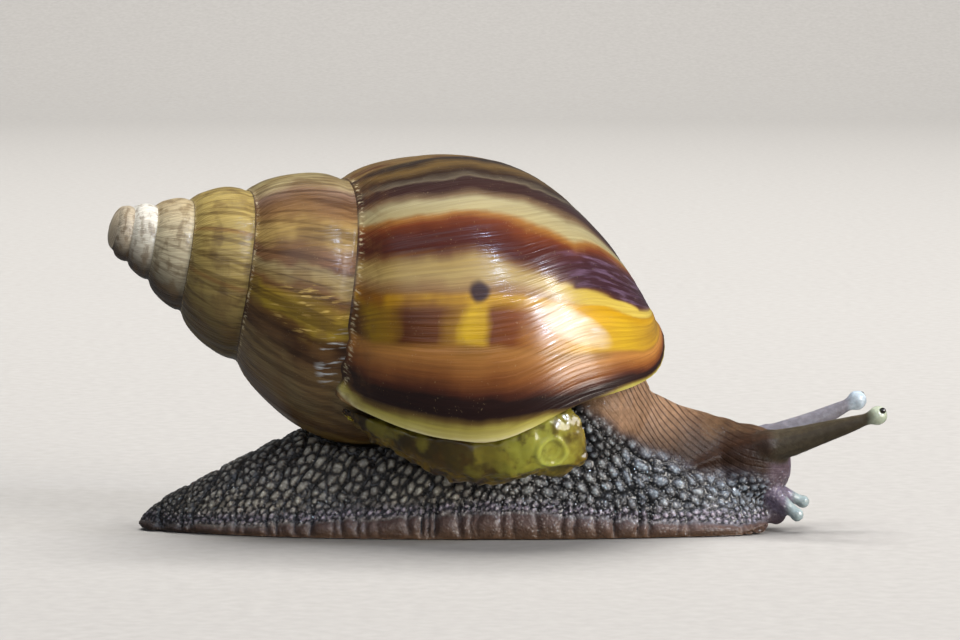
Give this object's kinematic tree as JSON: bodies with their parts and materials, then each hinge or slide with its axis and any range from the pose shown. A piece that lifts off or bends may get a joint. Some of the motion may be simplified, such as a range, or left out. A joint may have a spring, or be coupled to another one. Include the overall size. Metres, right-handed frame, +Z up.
{
  "type": "giant african land snail",
  "caption": "Young giant land snail, life size, crawling with its feelers out: conical striped spiral shell, foot, mantle collar, neck, head, feelers, eyes and lips.",
  "frame": {"origin": "middle of the sole's flat, on the ground, under the front half of the shell", "axes": "+X towards the head, +Z up, so the animal's right side is at -Y"},
  "size_m": [0.0539, 0.0238, 0.0264],
  "materials": {
    "shell": "glossy shell of lime with a thin horny skin, cream and amber with dark brown flames along the growth lines",
    "mantle": "wet, slightly see-through yellow-green skin",
    "flesh": "wet grey-brown skin with raised bumps and dark grooves, paler at the edge of the sole",
    "feeler": "smooth, damp, slightly see-through brown-grey skin",
    "eye": "wet black bead under clear skin"
  },
  "bodies": {
    "root": {"shell": "shell", "mantle_collar": "mantle", "tail": "flesh", "foot": "flesh", "neck": "flesh", "head": "flesh", "right_upper_tentacle": "feeler", "left_upper_tentacle": "feeler", "right_lower_tentacle": "feeler", "left_lower_tentacle": "feeler", "right_eye": "eye", "left_eye": "eye", "right_lip": "flesh", "left_lip": "flesh"}
  },
  "joints": []
}
